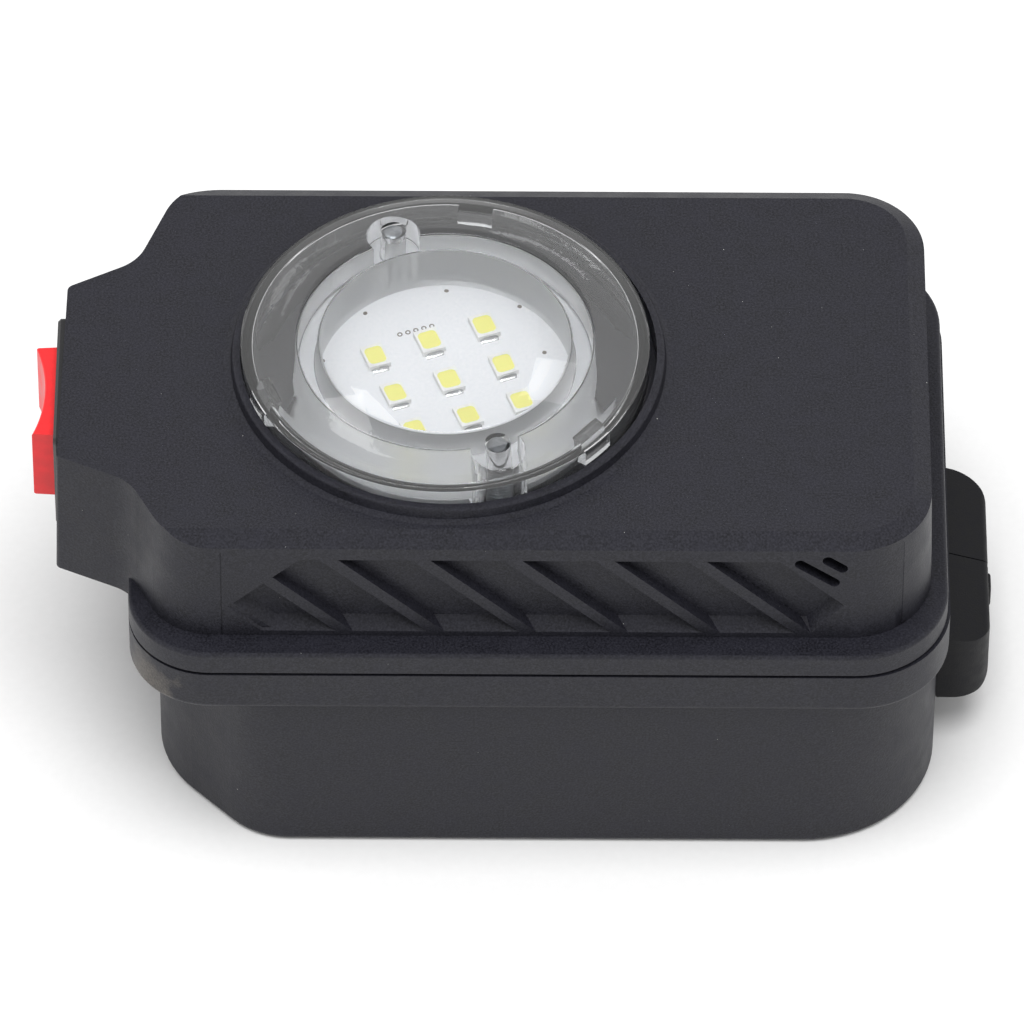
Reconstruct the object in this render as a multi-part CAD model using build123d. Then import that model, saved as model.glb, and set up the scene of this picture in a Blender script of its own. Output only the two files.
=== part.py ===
"""Miner's cap lamp: a two-part moulded housing with a round LED window, a rocker switch and two port flaps.

Millimetres. +Z points the way the lamp shines, +X runs from the switch to the ports, +Y away from the louvres.
The origin is under the middle of the lamp, on the plane of its flat back.
"""
import os
from math import atan2, cos, degrees, hypot, radians, sin, tan

from build123d import *

os.makedirs("parts", exist_ok=True)

# Levels, from the flat back upwards
RIM_BOTTOM = 25.7
LOWER_TOP = 31.75
UPPER_BOTTOM = 32.2
FLANGE_TOP = 35.4
TOP = 51.5
BEZEL_TOP = 53.2
LENS_TOP = 56.6

# Outlines, seen from the lens side
HALF_LENGTH = 58.65
RIM_LEFT, RIM_RIGHT, RIM_HALF = -46.9, 52.6, 33.7
RIM_RADII = (10.0, 11.5)
BODY_RIGHT, BODY_HALF, BODY_CORNER = 50.3, 30.5, 10.3
FLANGE_RIGHT = 52.25
BOWL_LEFT, BOWL_RIGHT, BOWL_HALF = -43.8, 51.6, 32.2
BOWL_CHAMFER = 12.0
BOWL_RADIUS = 16.3
BOWL_SIDE_RADIUS, BOWL_FRONT_RADIUS = 14.0, 10.0
NOSE_LEFT_BACK, NOSE_LEFT_FRONT = -55.4, -55.86
NOSE_Y = -2.0
WALL = 2.0
FRONT_WALL = 4.6
DRAFT_ANGLE = 1.6

# Top edge band of the main body
BAND_WIDTH, BAND_DROP = 2.3, 1.3
BAND_INSET = 0.39

# Window
BEZEL_X, LENS_X = -8.35, -8.75
BEZEL_INNER, BEZEL_OUTER, BEZEL_FOOT = 25.25, 26.2, 26.45
APRON_RADIUS, APRON_RISE = 27.2, 0.3
LENS_RADIUS = 24.75
LENS_SHOULDER = 54.9
LENS_PLATE_BOTTOM = 54.0
LENS_SKIRT_BOTTOM = 50.6
LENS_SKIRT_INNER = 23.1
RIB_OUTER, RIB_INNER = 17.7, 15.4
POCKET_RADIUS = 22.75
POCKET_LEDGE = 49.9
POCKET_FLOOR = 44.1
POCKET_UNDERSIDE = 42.1
LENS_BOSS_RADIUS = 3.3
LENS_SCREW_RING = 18.8
LENS_SCREW_ANGLES = (110.0, -70.0)
TAB_ANGLES = (81.0, 201.5, 320.0)
CLEARANCE = 0.15

# Light board
SPREADER_THICK = 1.5
BOARD_THICK = 1.2
BOARD_RADIUS = 17.4
EAR_RADIUS = 3.2
LED_SIZE = (3.5, 2.8, 0.75)
LED_WINDOW = (2.7, 2.3, 0.35)
LED_PITCH = (6.9, 6.6)
LED_ANGLE = 21.0
LED_CENTRE = (-8.3, 0.0)

# Front louvres: slanted pockets whose sills slope outwards, all within one six-sided field
LOUVRE_TOP, LOUVRE_BOTTOM = 48.65, 36.2
LOUVRE_RUN = 13.0
LOUVRE_PITCH = 11.03
LOUVRE_COUNT = 6
LOUVRE_FIRST = -32.65
LOUVRE_WIDTH, LOUVRE_FLAT, LOUVRE_DEPTH = 9.0, 7.9, 1.72
LOUVRE_SHALLOW = 0.35
LOUVRE_SHALLOW_FLAT, LOUVRE_SHALLOW_RAMP = 1.4, 3.0
LOUVRE_WALL_Y = -30.4
SILL_ANGLE = 35.0
LOUVRE_FIELD = [(-34.75, 40.3), (-26.1, 48.65), (33.5, 48.65), (39.4, 41.1), (35.5, 36.2), (-30.75, 36.2)]

# Vent slots beside the louvres, and the mould's insert lines down the front wall
VENT_SLOTS = ((36.0, 46.5, 6.5), (38.1, 48.0, 3.5))
VENT_WIDTH, VENT_SLOPE = 1.35, -36.5
INSERT_LINES = (-35.4, 46.45)
INSERT_LINE_WIDTH, INSERT_LINE_DEPTH = 0.16, 0.12

# Rocker switch, in a 21 x 15 mm bezel
SWITCH_Y, SWITCH_Z = -2.0, 42.6
SWITCH_SEAT = -54.95
SWITCH_BEZEL = (1.0, 21.0, 15.0)
TERMINAL_YS = (-6.0, 0.0, 6.0)
SWITCH_BARREL = (11.7, 18.8, 12.8)
ROCKER_LENGTH, ROCKER_HEIGHT = 14.8, 10.6
ROCKER_PIVOT_X = -54.0
CONTACT_PIVOT_X = -48.2
TRUNNION_RADIUS = 1.2
RUNNING_GAP = 0.05

# Battery
CELL_RADIUS, CELL_LENGTH = 9.2, 65.0
CELL_PITCH = 18.8
CELL_LEFT = -28.0
CELL_Z = 15.2

# Ports and their flaps
FLAP_BOTTOM, FLAP_TOP_ROOT, FLAP_TOP_OUTER = 6.9, 18.0, 15.9
FLAP_OUTER = 58.3
FLAP_END = 14.4
FLAP_END_RADIUS = 4.4
FLAP_GAP = 0.08
STRAP_Y = 13.8
PORT_BOARD_TOP = 10.2
USB_Y, DC_Y = -6.6, 6.7

# Fasteners
CASE_SCREW_PLACES = ((42.5, -22.5), (42.5, 22.5), (-34.5, -22.0), (-34.5, 22.0))
CASE_SCREW_SEAT = 12.0
CASE_SCREW_TIP = 34.0
CLIP_SCREW_Y = (8.0, 13.0)

# Wires
WIRE_RADIUS, WIRE_BEND = 0.6, 4.0
WIRE_END_X = 39.75


STANDING = (Align.CENTER, Align.CENTER, Align.MIN)


def outline(points, radii):
    """A closed face through the points, each corner rounded by its radius."""
    return make_face(FilletPolyline(*points, radius=radii, close=True))


def prism(points, radii, low, high, taper=0.0):
    """The rounded outline carried up from one level to another."""
    return Pos(0, 0, low) * extrude(outline(points, radii), high - low, taper=taper)


def block(x, y, z):
    """A box between the given pairs of limits."""
    size = (x[1] - x[0], y[1] - y[0], z[1] - z[0])
    centre = ((x[0] + x[1]) / 2, (y[0] + y[1]) / 2, (z[0] + z[1]) / 2)
    return Pos(*centre) * Box(*size)


def post(x, y, radius, low, high):
    """A round post or hole along Z."""
    return Pos(x, y, (low + high) / 2) * Cylinder(radius, high - low)


def ring(x, outer, inner, low, high):
    """A plain ring about the vertical line y = 0."""
    return post(x, 0, outer, low, high) - post(x, 0, inner, low - 1, high + 1)


def rounded_rectangle(left, right, half, corner, inset=0.0):
    """The four corner points and radii of a rounded rectangle; corner gives the left and right radii."""
    left, right, half = left + inset, right - inset, half - inset
    points = [(left, -half), (right, -half), (right, half), (left, half)]
    radii = [max(c - inset, 0.5) for c in (corner[0], corner[1], corner[1], corner[0])]
    return points, radii


def rim_outline(inset=0.0):
    """The joint between the two halves follows this outline."""
    return rounded_rectangle(RIM_LEFT, RIM_RIGHT, RIM_HALF, RIM_RADII, inset)


def bowl_outline(inset=0.0):
    """The lower shell: cut corners at the switch end and wide round corners at the port end."""
    left, right, half = BOWL_LEFT + inset, BOWL_RIGHT - inset, BOWL_HALF - inset
    cut = BOWL_CHAMFER - inset * 0.59
    front = [(left, cut - half), (left + cut, -half), (right, -half)]
    back = [(x, -y) for x, y in reversed(front)]
    radii = [r - inset for r in (BOWL_SIDE_RADIUS, BOWL_FRONT_RADIUS, BOWL_RADIUS)]
    return front + back, radii + radii[::-1]


def body_outline():
    """The upper body at its foot: a nose carries the switch and widens through an S-curve to the box."""
    points = [
        (NOSE_LEFT_FRONT, NOSE_Y - 14.5),
        (-46.9, NOSE_Y - 18.6),
        (-41.7, -BODY_HALF),
        (BODY_RIGHT, -BODY_HALF),
        (BODY_RIGHT, BODY_HALF),
        (-41.7, BODY_HALF),
        (-46.9, NOSE_Y + 18.9),
        (NOSE_LEFT_BACK, NOSE_Y + 14.4),
    ]
    return points, [0.8, 5.5, 8.0, BODY_CORNER, BODY_CORNER, 8.0, 5.5, 1.6]


def ring_points():
    """The two lens screw places."""
    for angle in LENS_SCREW_ANGLES:
        yield (LENS_X + LENS_SCREW_RING * cos(radians(angle)), LENS_SCREW_RING * sin(radians(angle)))


def eared_disc(radius, ear, low, high):
    """A disc with an ear at each lens screw, both drilled for the screws."""
    axis = Rot(0, 0, LENS_SCREW_ANGLES[0])
    disc = Circle(radius) + axis * SlotCenterToCenter(2 * LENS_SCREW_RING, 2 * ear)
    plate = Pos(LENS_X, 0, low) * extrude(disc, high - low)
    for x, y in ring_points():
        plate -= post(x, y, 1.6, low - 1, high + 1)
    return plate


def louvre_recess(left, profile):
    """One slanted pocket in the front wall. The profile gives (distance from its step line, depth)."""
    outside = LOUVRE_WALL_Y - 3
    points = [(left, outside)]
    points += [(left + along, LOUVRE_WALL_Y + deep) for along, deep in profile]
    points.append((left + LOUVRE_WIDTH, outside))
    drop = LOUVRE_TOP - LOUVRE_BOTTOM
    overrun = 1.1
    face = make_face(Polyline(*points, close=True))
    return Pos(0, 0, LOUVRE_TOP) * extrude(face, hypot(LOUVRE_RUN, drop) * overrun, dir=(LOUVRE_RUN, 0, -drop))


def louvres():
    """The row of pockets. The field's sides lean inwards, which slopes the sills and closes both ends."""
    full = [(0, LOUVRE_DEPTH), (LOUVRE_FLAT, LOUVRE_DEPTH), (LOUVRE_WIDTH, 0)]
    shallow = [(0, LOUVRE_SHALLOW), (LOUVRE_SHALLOW_FLAT, LOUVRE_SHALLOW)]
    shallow.append((LOUVRE_SHALLOW_RAMP, LOUVRE_DEPTH))
    pockets = louvre_recess(LOUVRE_FIRST - LOUVRE_PITCH, shallow + full[1:])
    for count in range(LOUVRE_COUNT):
        pockets += louvre_recess(LOUVRE_FIRST + count * LOUVRE_PITCH, full)
    field = make_face(Polyline(*LOUVRE_FIELD, close=True))
    stand = Pos(0, LOUVRE_WALL_Y, 0) * Rot(90, 0, 0)
    inner = stand * extrude(field, -2 * LOUVRE_DEPTH, taper=SILL_ANGLE)
    outer = stand * extrude(field, LOUVRE_DEPTH)
    return pockets & (inner + outer)


def vent_slot(x, z, length):
    """A narrow slot through the front wall, falling to the right."""
    shape = Rot(0, 0, VENT_SLOPE) * SlotOverall(length, VENT_WIDTH)
    return Pos(x, -BODY_HALF + 3, z) * Rot(90, 0, 0) * extrude(shape, 8, both=True)


def insert_line(x):
    """A hair-thin groove down the drafted front wall, where two inserts of the mould meet."""
    middle = (FLANGE_TOP + TOP - 2) / 2
    into_corner = max(0.0, x - (BODY_RIGHT - BODY_CORNER))
    set_back = BODY_CORNER - (BODY_CORNER**2 - into_corner**2) ** 0.5
    wall = set_back - BODY_HALF + (middle - UPPER_BOTTOM) * tan(radians(DRAFT_ANGLE))
    groove = Box(INSERT_LINE_WIDTH, 2 * INSERT_LINE_DEPTH, TOP - 2 - FLANGE_TOP)
    return Pos(x, wall, middle) * Rot(-DRAFT_ANGLE, 0, 0) * groove


def housing_cavity():
    """The room inside the upper half, with the passage into the nose."""
    ceiling = TOP - 2.2
    depth = (-BODY_HALF + FRONT_WALL, BODY_HALF - 2.3)
    room = block((-41.5, BODY_RIGHT - 2.3), depth, (UPPER_BOTTOM - 1, ceiling))
    room = fillet(room.edges().filter_by(Axis.Z), 5)
    passage = (NOSE_Y - 12.6, NOSE_Y + 12.4)
    nose = block((NOSE_LEFT_BACK + WALL, -38.0), passage, (UPPER_BOTTOM + WALL, ceiling))
    return room + nose


def upper_housing():
    """The moulded upper half: body and nose, flange, bezel ring, lens pocket, louvres and screw bosses."""
    body = prism(*body_outline(), UPPER_BOTTOM, TOP, taper=DRAFT_ANGLE)
    corners = rounded_rectangle(-90, BODY_RIGHT - BAND_INSET, BODY_HALF - BAND_INSET, (6.0, BODY_CORNER - 0.5))
    band_slope = degrees(atan2(BAND_WIDTH, BAND_DROP))
    lid = prism(*corners, TOP - 8, TOP - BAND_DROP) + prism(*corners, TOP - BAND_DROP, TOP, taper=band_slope)
    body &= lid + block((-90, 90), (-60, 60), (0, TOP - 5))
    flange_corners = rounded_rectangle(RIM_LEFT, FLANGE_RIGHT, RIM_HALF, RIM_RADII)
    flange = prism(*flange_corners, UPPER_BOTTOM, FLANGE_TOP)
    flange = fillet(flange.edges().group_by(Axis.Z)[-1], 0.5)
    body += flange
    body -= housing_cavity()
    body += post(BEZEL_X, 0, BEZEL_FOOT, POCKET_UNDERSIDE, TOP)
    bezel = Pos(BEZEL_X, 0, TOP) * Cone(BEZEL_FOOT, BEZEL_OUTER, BEZEL_TOP - TOP, align=STANDING)
    body += fillet(bezel.edges().group_by(Axis.Z)[-1], 0.35)
    body += Pos(BEZEL_X, 0, TOP) * Cone(APRON_RADIUS, BEZEL_FOOT, APRON_RISE, align=STANDING)
    body -= post(BEZEL_X, 0, BEZEL_INNER, POCKET_LEDGE, BEZEL_TOP + 1)
    body -= post(BEZEL_X, 0, POCKET_RADIUS, POCKET_FLOOR, BEZEL_TOP)
    for x, y in ring_points():
        body -= post(x, y, 1.6, POCKET_UNDERSIDE - 1, POCKET_FLOOR + 1)
    body -= post(BEZEL_X, 9.0, 2.2, POCKET_UNDERSIDE - 1, POCKET_FLOOR + 1)
    for x, y in CASE_SCREW_PLACES:
        body += post(x, y, 3.6, CASE_SCREW_TIP - 9, TOP - 2.0)
        body -= post(x, y, 1.5, CASE_SCREW_TIP - 10, CASE_SCREW_TIP + 2)
    body -= louvres()
    for slot in VENT_SLOTS:
        body -= vent_slot(*slot)
    for x in INSERT_LINES:
        body -= insert_line(x)
    window = (SWITCH_BARREL[1] + 0.3, SWITCH_BARREL[2] + 0.3)
    body -= Pos(SWITCH_SEAT, SWITCH_Y, SWITCH_Z) * Box(6, *window)
    seat = (SWITCH_BEZEL[1] + 0.1, SWITCH_BEZEL[2] + 0.1)
    body -= Pos(SWITCH_SEAT - 2, SWITCH_Y, SWITCH_Z) * Box(4, *seat)
    return body


def lower_shell():
    """The moulded lower half: deep bowl, rim, clip pocket in the back, screw posts and the port openings."""
    bowl = prism(*bowl_outline(), 0, RIM_BOTTOM + 1)
    bowl = fillet(bowl.edges().group_by(Axis.Z)[0], 0.8)
    rim = prism(*rim_outline(), RIM_BOTTOM, LOWER_TOP)
    rim = fillet(rim.edges().group_by(Axis.Z)[0], 0.9)
    shell = bowl + rim
    shell -= prism(*bowl_outline(WALL), WALL, LOWER_TOP + 1)
    shell += block((-13, 13), (-24, 18), (0.5, 5.6))
    pocket = block((-11, 11), (-22, 16), (-1, 3.6))
    shell -= fillet(pocket.edges().filter_by(Axis.Z), 1.5)
    for y in CLIP_SCREW_Y:
        shell -= post(0, y, 1.1, 3, 5.2)
    for x, y in CASE_SCREW_PLACES:
        shell += post(x, y, 4.4, 1, CASE_SCREW_TIP - 9.2)
        shell -= post(x, y, 3.2, -1, CASE_SCREW_SEAT)
        shell -= post(x, y, 1.65, 0, CASE_SCREW_TIP)
    for y in (-14.5, 14.5):
        shell += post(44.5, y, 2.2, 1, PORT_BOARD_TOP - 1.6)
        shell -= post(44.5, y, 0.85, 3, PORT_BOARD_TOP)
    outside = BOWL_RIGHT + 1
    usb_height = (PORT_BOARD_TOP - 0.25, PORT_BOARD_TOP + 3.5)
    usb = block((BOWL_RIGHT - 3, outside), (USB_Y - 4.7, USB_Y + 4.7), usb_height)
    shell -= fillet(usb.edges().filter_by(Axis.X), 1.6)
    shell -= Pos(BOWL_RIGHT - 1, DC_Y, PORT_BOARD_TOP + 3.2) * Rot(0, 90, 0) * Cylinder(2.9, 6)
    for y in (-1, 1):
        strap_y = y * STRAP_Y
        shell -= block((BOWL_RIGHT - 3, outside), (strap_y - 0.45, strap_y + 0.45), (8.9, 15.1))
    return shell


def seam_gasket():
    """A flat rubber ring held between the two halves, set in a little from the outside."""
    outer = prism(*rim_outline(0.7), LOWER_TOP, UPPER_BOTTOM)
    return outer - prism(*rim_outline(2.3), LOWER_TOP - 1, UPPER_BOTTOM + 1)


def lens():
    """The clear window: a bevelled plate with a skirt, a round light guide, two screw bosses, three tabs."""
    plate = post(LENS_X, 0, LENS_RADIUS, LENS_SKIRT_BOTTOM, LENS_SHOULDER)
    crown = Cone(LENS_RADIUS - 0.6, LENS_RADIUS - 1.9, LENS_TOP - LENS_SHOULDER, align=STANDING)
    plate += Pos(LENS_X, 0, LENS_SHOULDER) * crown
    plate -= post(LENS_X, 0, LENS_SKIRT_INNER, LENS_SKIRT_BOTTOM - 1, LENS_PLATE_BOTTOM)
    foot = POCKET_FLOOR + SPREADER_THICK + BOARD_THICK + CLEARANCE
    plate += ring(LENS_X, RIB_OUTER, RIB_INNER, foot, LENS_PLATE_BOTTOM + 0.5)
    for x, y in ring_points():
        plate += post(x, y, LENS_BOSS_RADIUS, foot, LENS_PLATE_BOTTOM + 0.5)
    for x, y in ring_points():
        plate -= post(x, y, 1.45, foot - 1, LENS_TOP - 0.75)
    for angle in TAB_ANGLES:
        tab = Pos(LENS_SKIRT_INNER - 0.6, 0, LENS_PLATE_BOTTOM - 1.2) * Box(1.6, 4.2, 2.8)
        plate += Pos(LENS_X, 0, 0) * Rot(0, 0, angle) * tab
    return plate


def lens_gasket():
    """The flat rubber ring that the window is drawn down on."""
    return ring(LENS_X, LENS_RADIUS - 0.2, LENS_SKIRT_INNER - 0.3, POCKET_LEDGE, LENS_SKIRT_BOTTOM)


def heat_spreader():
    """An aluminium plate on the pocket floor, with a hole for the light board's leads."""
    plate = eared_disc(BOARD_RADIUS, EAR_RADIUS, POCKET_FLOOR, POCKET_FLOOR + SPREADER_THICK)
    return plate - post(BEZEL_X, 9.0, 2.0, POCKET_FLOOR - 1, POCKET_FLOOR + 3)


def led_board():
    """The white aluminium-core board that carries the light emitters."""
    low = POCKET_FLOOR + SPREADER_THICK
    return eared_disc(BOARD_RADIUS, EAR_RADIUS, low, low + BOARD_THICK)


def led_places():
    """Three rows of three, turned against the housing."""
    middle = Pos(*LED_CENTRE, 0) * Rot(0, 0, LED_ANGLE)
    for column in (-1, 0, 1):
        for row in (-1, 0, 1):
            yield middle * Pos(column * LED_PITCH[0], row * LED_PITCH[1], 0)


def led_window(height):
    """The rounded well in an emitter's face."""
    width, depth, _ = LED_WINDOW
    return extrude(RectangleRounded(depth, width, 0.6), height)


def led_frames():
    """The white plastic bodies of the nine emitters, each with an open well."""
    base = POCKET_FLOOR + SPREADER_THICK + BOARD_THICK
    length, width, height = LED_SIZE
    frame = Pos(0, 0, height / 2) * Box(width, length, height)
    frame -= Pos(0, 0, height - LED_WINDOW[2]) * led_window(1)
    return Compound([place * Pos(0, 0, base) * frame for place in led_places()])


def led_phosphors():
    """The yellow silicone that fills each emitter's well."""
    floor = POCKET_FLOOR + SPREADER_THICK + BOARD_THICK + LED_SIZE[2] - LED_WINDOW[2]
    fill = led_window(LED_WINDOW[2] - 0.03)
    return Compound([place * Pos(0, 0, floor) * fill for place in led_places()])


def lens_screws():
    """Two M3 screws that come up through the floor and the boards into the window's bosses."""
    head = Pos(0, 0, POCKET_UNDERSIDE - 2) * Cylinder(2.8, 2, align=STANDING)
    head -= Pos(0, 0, POCKET_UNDERSIDE - 2) * (Box(3.4, 0.7, 1.6) + Box(0.7, 3.4, 1.6))
    tip = LENS_TOP - 0.9
    shank = post(0, 0, 1.4, POCKET_UNDERSIDE - 0.1, tip)
    shank -= Pos(0, 0, tip) * Cone(0.01, 0.7, 0.5)
    screw = head + shank
    return Compound([Pos(x, y, 0) * screw for x, y in ring_points()])


def switch_body():
    """The black bezel and barrel of the rocker switch, open at the front, with bearings for the rocker."""
    thick, wide, high = SWITCH_BEZEL
    deep, barrel_wide, barrel_high = SWITCH_BARREL
    bezel = Pos(SWITCH_SEAT - thick / 2, 0, 0) * Box(thick, wide, high)
    bezel = fillet(bezel.edges().filter_by(Axis.X), 0.8)
    bezel = chamfer(bezel.faces().sort_by(Axis.X)[0].edges(), 0.35)
    body = bezel + Pos(SWITCH_SEAT + deep / 2, 0, 0) * Box(deep, barrel_wide, barrel_high)
    mouth = (ROCKER_LENGTH + 1.0, ROCKER_HEIGHT + 0.5)
    front = SWITCH_SEAT - thick - 1
    depth = SWITCH_SEAT + deep - 2.0 - front
    body -= Pos(front + depth / 2, 0, 0) * Box(depth, *mouth)
    body -= Pos(ROCKER_PIVOT_X, 0, 0) * Cylinder(TRUNNION_RADIUS + RUNNING_GAP, ROCKER_HEIGHT + 1.6)
    for side in (-1, 1):
        latch = Pos(SWITCH_SEAT + 3.6, side * (barrel_wide / 2 + 0.2), 0) * Box(2.4, 0.6, 4)
        body += latch
    for y in TERMINAL_YS:
        body -= Pos(SWITCH_SEAT + deep - 1, y, 0) * Box(4, 0.8, 4.8)
    return Pos(0, SWITCH_Y, SWITCH_Z) * body


def switch_rocker():
    """The red rocker: a dished face between two lips, and a trunnion on each side."""
    half = ROCKER_LENGTH / 2
    lip_front, lip_back = (-4.65, -half + 0.25), (-4.5, half - 0.25)
    dish = ThreePointArc(lip_front, (-3.3, 0.3), lip_back)
    heel = [(-1.5, half - 0.05), (1.6, half - 0.05), (2.0, 4.6)]
    toe = [(x, -y) for x, y in reversed(heel)]
    profile = make_face(Curve() + [dish, Polyline(lip_back, *heel, *toe, lip_front)])
    rocker = Pos(0, 0, -ROCKER_HEIGHT / 2) * extrude(profile, ROCKER_HEIGHT)
    rocker = fillet(rocker.edges().filter_by(GeomType.CIRCLE), 0.3)
    rocker += Cylinder(TRUNNION_RADIUS, ROCKER_HEIGHT + 1.3)
    rocker -= Pos(0.75, 0, 0) * Rot(0, 90, 0) * Cylinder(1.25, 4.5)
    return Pos(ROCKER_PIVOT_X, SWITCH_Y, SWITCH_Z) * rocker


def switch_plunger():
    """The sprung pin under the rocker that throws the contact."""
    pin = Rot(0, 90, 0) * Cylinder(1.2, 4.2) + Pos(2.1, 0, 0) * Sphere(1.2)
    return Pos(ROCKER_PIVOT_X + 1.1, SWITCH_Y, SWITCH_Z) * pin


def switch_contact():
    """The brass see-saw that the plunger tips from one terminal to the other."""
    plate = Pos(-0.35, 0, 0) * Box(0.6, 11.0, 4.0)
    plate -= Pos(-0.65, 0, 0) * Cylinder(0.35, 6)
    tips = [Pos(0.1, side * 4.9, 0) * Rot(0, 90, 0) * Cylinder(0.8, 0.4) for side in (-1, 1)]
    return Pos(CONTACT_PIVOT_X, SWITCH_Y, SWITCH_Z) * (plate + tips)


def switch_terminals():
    """Three brass blades through the back of the barrel; the middle one carries the see-saw."""
    blades = []
    back = SWITCH_SEAT + SWITCH_BARREL[0]
    for y in TERMINAL_YS:
        start = CONTACT_PIVOT_X + (0.15 if y == 0 else 1.3)
        blade = block((start, back + 5.5), (y - 0.4, y + 0.4), (-2.4, 2.4))
        blade -= Pos(back + 3.7, y, 0) * Rot(90, 0, 0) * Cylinder(0.8, 3)
        blades.append(Pos(0, SWITCH_Y, SWITCH_Z) * blade)
    return Compound(blades)


def cell(y):
    """One 18650 cell with its raised positive cap."""
    axis = Pos(CELL_LEFT, y, CELL_Z) * Rot(0, 90, 0)
    can = Cylinder(CELL_RADIUS, CELL_LENGTH - 0.6, align=STANDING)
    can = fillet(can.edges(), 0.6)
    cap = Cylinder(3.0, CELL_LENGTH, align=STANDING)
    return axis * (can + cap)


def cell_cradles():
    """Two saddles that stand on the floor of the lower shell and hold the three cells."""
    saddles = []
    for x in (-22.0, 29.0):
        saddle = block((x, x + 3.0), (-28.6, 28.6), (WALL, CELL_Z - 1))
        for count in (-1, 0, 1):
            saddle -= Pos(x, count * CELL_PITCH, CELL_Z) * Rot(0, 90, 0) * Cylinder(CELL_RADIUS + 0.1, 10)
        saddles.append(saddle)
    return Compound(saddles)


def nickel_strips():
    """Spot-welded strips that join the cells at each end."""
    strips = []
    for x in (CELL_LEFT - 0.2, CELL_LEFT + CELL_LENGTH):
        strips.append(block((x, x + 0.2), (-CELL_PITCH - 4, CELL_PITCH + 4), (CELL_Z - 3.5, CELL_Z + 3.5)))
    return Compound(strips)


def protection_board():
    """The cells' protection circuit, standing at their switch end."""
    x = CELL_LEFT - 2.6
    board = block((x, x + 1.2), (-13, 13), (8, 23))
    for y in (-6, 0, 6):
        board += block((x - 1.0, x), (y - 2, y + 2), (12, 17))
    return board


def battery_foam():
    """A foam pad that keeps the cells down in their saddles."""
    return block((-8, 18), (-26, 26), (CELL_Z + CELL_RADIUS + 0.1, CELL_Z + CELL_RADIUS + 2.6))


def control_board():
    """The charger and driver board, screwed down level with the ports."""
    board = block((38.7, 48.0), (-17.3, 17.3), (PORT_BOARD_TOP - 1.6, PORT_BOARD_TOP))
    for y in (-14.5, 14.5):
        board -= post(44.5, y, 1.1, PORT_BOARD_TOP - 3, PORT_BOARD_TOP + 1)
    return board


def control_chips():
    """The charger and driver packages under the board."""
    under = PORT_BOARD_TOP - 1.6
    return Compound([block((41.5, 46.5), (y - 2.5, y + 2.5), (under - 1.3, under)) for y in (-8, 8)])


def inductor():
    """The driver's shielded inductor under the board."""
    under = PORT_BOARD_TOP - 1.6
    can = block((41, 47), (-3, 3), (under - 3, under))
    return fillet(can.edges().filter_by(Axis.Z), 1.2)


def usb_socket():
    """The stamped shell of the USB-C charging socket."""
    shell = Pos(47.3, USB_Y, PORT_BOARD_TOP + 1.6) * Box(7.3, 8.94, 3.2)
    shell = fillet(shell.edges().filter_by(Axis.X), 1.3)
    hollow = Pos(48.3, USB_Y, PORT_BOARD_TOP + 1.6) * Box(7.3, 8.34, 2.6)
    return shell - fillet(hollow.edges().filter_by(Axis.X), 1.0)


def usb_tongue():
    """The contact tongue inside the USB-C socket."""
    tongue = Pos(47.4, USB_Y, PORT_BOARD_TOP + 1.6) * Box(5.4, 6.7, 0.7)
    return tongue + Pos(45.1, USB_Y, PORT_BOARD_TOP + 1.6) * Box(0.8, 6.9, 1.8)


def dc_socket():
    """The small round charging socket beside it."""
    axis = Pos(0, DC_Y, PORT_BOARD_TOP + 3.2) * Rot(0, 90, 0)
    body = block((40.3, BOWL_RIGHT - 2.2), (DC_Y - 3.3, DC_Y + 3.3), (PORT_BOARD_TOP, PORT_BOARD_TOP + 6.4))
    body += axis * Pos(0, 0, 48.3) * Cylinder(2.7, 5)
    return body - axis * Pos(0, 0, 47.4) * Cylinder(2.0, 10)


def dc_pin():
    """The centre pin of the round charging socket."""
    return Pos(46.0, DC_Y, PORT_BOARD_TOP + 3.2) * Rot(0, 90, 0) * Cylinder(0.65, 7.2)


def board_screws():
    """Two small screws that hold the control board to its posts."""
    screws = []
    for y in (-14.5, 14.5):
        head = post(44.5, y, 1.7, PORT_BOARD_TOP, PORT_BOARD_TOP + 1.2)
        head = fillet(head.edges().group_by(Axis.Z)[-1], 0.4)
        screws.append(head + post(44.5, y, 0.8, PORT_BOARD_TOP - 5, PORT_BOARD_TOP + 0.1))
    return Compound(screws)


def port_flap(side):
    """One rubber port flap; side is -1 at the louvres and +1 at the back. It is hollow over its port."""
    root = BOWL_RIGHT + 0.15
    points = [(root, FLAP_BOTTOM), (FLAP_OUTER, FLAP_BOTTOM), (FLAP_OUTER, FLAP_TOP_OUTER), (root, FLAP_TOP_ROOT)]
    section = outline(points, [0.3, 1.4, 0.9, 0.3])
    flap = Pos(0, FLAP_END, 0) * Rot(90, 0, 0) * extrude(section, FLAP_END)
    plan = [(root - 1, FLAP_GAP), (FLAP_OUTER, FLAP_GAP), (FLAP_OUTER, FLAP_END), (root - 1, FLAP_END)]
    flap &= prism(plan, [0, 0.5, FLAP_END_RADIUS, 0], 0, TOP)
    flap -= block((root - 1, 55.0), (1.6, 11.8), (8.6, 15.6))
    if side < 0:
        flap = flap.mirror(Plane.XZ)
        nub = block((FLAP_OUTER - 0.5, HALF_LENGTH), (-3.4, -0.9), (11.6, 14.8))
        flap += fillet(nub.faces().sort_by(Axis.X)[-1].edges(), 0.3)
    return flap


def flap_straps():
    """The rubber straps that tie the flaps to the shell, each with a head inside the wall."""
    straps = []
    for side in (-1, 1):
        y = side * STRAP_Y
        strap = block((BOWL_RIGHT - 3.4, BOWL_RIGHT + 0.1), (y - 0.4, y + 0.4), (9.0, 15.0))
        straps.append(strap + block((BOWL_RIGHT - 3.4, BOWL_RIGHT - 2.15), (y - 1.2, y + 1.2), (9.0, 15.0)))
    return Compound(straps)


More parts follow.
